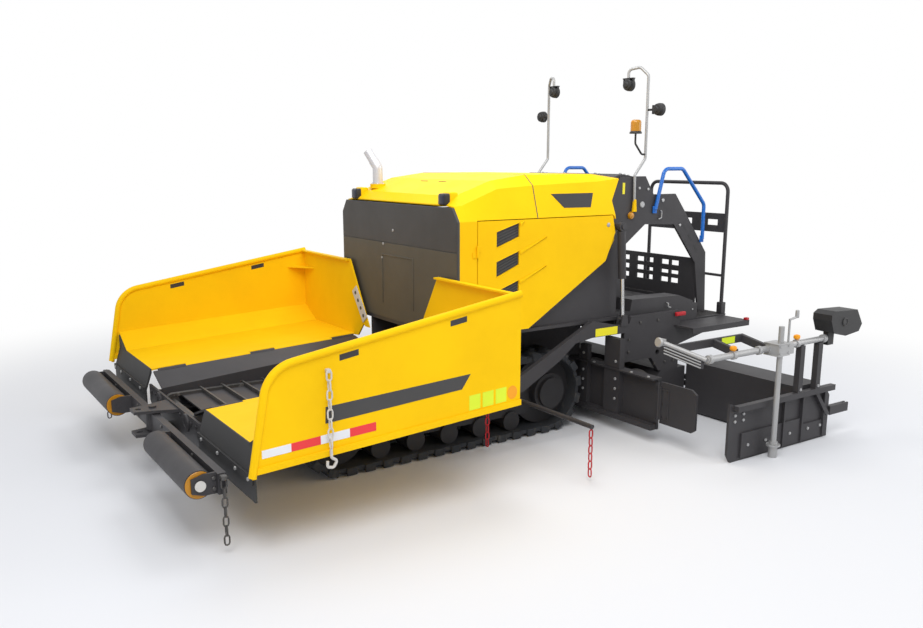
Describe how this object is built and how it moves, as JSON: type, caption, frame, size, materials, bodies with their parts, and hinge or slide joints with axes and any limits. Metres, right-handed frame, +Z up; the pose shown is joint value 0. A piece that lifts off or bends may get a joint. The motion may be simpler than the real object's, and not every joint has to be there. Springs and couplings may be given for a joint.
{
  "type": "asphalt paver",
  "caption": "Small tracked asphalt paver with a folding front hopper, slat conveyor, spreading augers, open operator's station and an extending rear screed.",
  "frame": {"origin": "centre of the footprint on the ground, at the lug tips' level", "axes": "+X forward, the way it paves, towards the hopper; +Y to the machine's left; +Z up"},
  "size_m": [4.9999, 4.2338, 2.8483],
  "materials": {
    "yellow_paint": "semi-gloss",
    "dark_paint": "satin",
    "rubber": "matt",
    "worn_steel": "worn",
    "silver_paint": "satin",
    "blue_paint": "gloss",
    "amber_plastic": "gloss",
    "red_paint": "satin",
    "black_plastic": "satin",
    "engine_iron": "matt"
  },
  "bodies": {
    "chassis": {"track_left": "rubber", "track_right": "rubber", "track_frame_left": "dark_paint", "track_frame_right": "dark_paint", "main_frame": "dark_paint", "conveyor_tray": "dark_paint", "conveyor_chain": "worn_steel", "marker_chains": "red_paint", "engine_block": "engine_iron", "hood": "yellow_paint", "hood_front_panel": "dark_paint", "exhaust_stack": "worn_steel", "platform": "dark_paint", "station_arches": "dark_paint", "console": "dark_paint", "rear_guard": "dark_paint", "rear_rail": "dark_paint", "handrail_left": "blue_paint", "handrail_right": "blue_paint", "light_masts": "silver_paint", "work_lamps": "black_plastic", "beacon": "amber_plastic", "auger_boards": "dark_paint"},
    "wing_left": {"hopper_wing_left": "yellow_paint", "wing_flap_left": "rubber", "wing_chain_left": "silver_paint"},
    "wing_barrel_left": {"wing_cylinder_left": "silver_paint"},
    "wing_rod_left": {"wing_ram_left": "worn_steel"},
    "push_roller_left": {"push_roller_left": "worn_steel"},
    "hood_door_left": {"hood_door_left": "yellow_paint"},
    "auger_leaf_left": {"auger_leaf_left": "dark_paint"},
    "auger_left": {"auger_left": "worn_steel"},
    "extension_left": {"screed_extension_left": "dark_paint", "end_plate_left": "dark_paint", "grade_bar_left": "silver_paint", "control_box_left": "black_plastic"},
    "wing_right": {"hopper_wing_right": "yellow_paint", "wing_flap_right": "rubber", "wing_chain_right": "silver_paint"},
    "wing_barrel_right": {"wing_cylinder_right": "silver_paint"},
    "wing_rod_right": {"wing_ram_right": "worn_steel"},
    "push_roller_right": {"push_roller_right": "worn_steel"},
    "hood_door_right": {"hood_door_right": "yellow_paint"},
    "auger_leaf_right": {"auger_leaf_right": "dark_paint"},
    "auger_right": {"auger_right": "worn_steel"},
    "extension_right": {"screed_extension_right": "dark_paint", "end_plate_right": "dark_paint", "grade_bar_right": "silver_paint", "control_box_right": "black_plastic"},
    "push_beam": {"push_beam": "dark_paint", "beam_chains": "worn_steel"},
    "screed": {"tow_arms": "dark_paint", "screed_main": "dark_paint"},
    "lift_barrels": {"lift_barrels": "silver_paint"},
    "lift_rods": {"lift_rams": "worn_steel"}
  },
  "joints": [
    {"name": "wing_fold_left", "type": "hinge", "parent": "chassis", "child": "wing_left", "pos_m": [2.142, 0.61, 0.585], "axis": [0.9986, 0, -0.0523], "range_deg": [0, 50]},
    {"name": "wing_cylinder_left", "type": "hinge", "parent": "chassis", "child": "wing_barrel_left", "pos_m": [1.85, 0.47, 0.3], "axis": [0.9986, 0, -0.0523], "range_deg": [0, 33.5]},
    {"name": "wing_ram_left", "type": "slide", "parent": "wing_barrel_left", "child": "wing_rod_left", "axis": [0.0165, 0.9492, 0.3142], "range_m": [0, 0.143]},
    {"name": "push_roller_left", "type": "hinge", "parent": "push_beam", "child": "push_roller_left", "pos_m": [2.42, 0.93, 0.4], "axis": [0, 1, 0], "continuous": true},
    {"name": "hood_door_left", "type": "hinge", "parent": "chassis", "child": "hood_door_left", "pos_m": [0.278, 0.88, 1.3], "axis": [0, 0, -1], "range_deg": [0, 80]},
    {"name": "auger_leaf_left", "type": "hinge", "parent": "chassis", "child": "auger_leaf_left", "pos_m": [-1.032, 1.38, 0.315], "axis": [0, 0, -1], "range_deg": [0, 90]},
    {"name": "auger_left", "type": "hinge", "parent": "chassis", "child": "auger_left", "pos_m": [-1.27, 0.5, 0.3], "axis": [0, 1, 0], "continuous": true},
    {"name": "screed_extension_left", "type": "slide", "parent": "screed", "child": "extension_left", "axis": [0, -1, 0], "range_m": [0, 0.85]},
    {"name": "wing_fold_right", "type": "hinge", "parent": "chassis", "child": "wing_right", "pos_m": [2.142, -0.61, 0.585], "axis": [-0.9986, 0, 0.0523], "range_deg": [0, 50]},
    {"name": "wing_cylinder_right", "type": "hinge", "parent": "chassis", "child": "wing_barrel_right", "pos_m": [1.85, -0.47, 0.3], "axis": [-0.9986, 0, 0.0523], "range_deg": [0, 33.5]},
    {"name": "wing_ram_right", "type": "slide", "parent": "wing_barrel_right", "child": "wing_rod_right", "axis": [0.0165, -0.9492, 0.3142], "range_m": [0, 0.143]},
    {"name": "push_roller_right", "type": "hinge", "parent": "push_beam", "child": "push_roller_right", "pos_m": [2.42, -0.93, 0.4], "axis": [0, 1, 0], "continuous": true},
    {"name": "hood_door_right", "type": "hinge", "parent": "chassis", "child": "hood_door_right", "pos_m": [0.278, -0.88, 1.3], "axis": [0, 0, 1], "range_deg": [0, 80]},
    {"name": "auger_leaf_right", "type": "hinge", "parent": "chassis", "child": "auger_leaf_right", "pos_m": [-1.032, -1.38, 0.315], "axis": [0, 0, 1], "range_deg": [0, 90]},
    {"name": "auger_right", "type": "hinge", "parent": "chassis", "child": "auger_right", "pos_m": [-1.27, -0.5, 0.3], "axis": [0, 1, 0], "continuous": true},
    {"name": "screed_extension_right", "type": "slide", "parent": "screed", "child": "extension_right", "axis": [0, 1, 0], "range_m": [0, 0.85]},
    {"name": "push_beam", "type": "hinge", "parent": "chassis", "child": "push_beam", "pos_m": [2.307, 0, 0.4], "axis": [0, 0, 1], "range_deg": [-2.5, 2.5]},
    {"name": "screed_lift", "type": "hinge", "parent": "chassis", "child": "screed", "pos_m": [0.04, 0, 0.47], "axis": [0, 1, 0], "range_deg": [0, 8]},
    {"name": "lift_cylinders", "type": "hinge", "parent": "chassis", "child": "lift_barrels", "pos_m": [-1.075, 0, 1.6], "axis": [0, 1, 0], "range_deg": [-6, 0]},
    {"name": "lift_rods", "type": "slide", "parent": "lift_barrels", "child": "lift_rods", "axis": [0.0614, 0, 0.9981], "range_m": [0, 0.161]}
  ],
  "couplings": [
    {"joint": "wing_cylinder_left", "follows": "wing_fold_left", "ratio": 0.66},
    {"joint": "wing_ram_left", "follows": "wing_fold_left", "m_per_rad": 0.1628},
    {"joint": "wing_cylinder_right", "follows": "wing_fold_right", "ratio": 0.66},
    {"joint": "wing_ram_right", "follows": "wing_fold_right", "m_per_rad": 0.1628},
    {"joint": "lift_cylinders", "follows": "screed_lift", "ratio": -0.7099},
    {"joint": "lift_rods", "follows": "screed_lift", "m_per_rad": 1.1355}
  ]
}
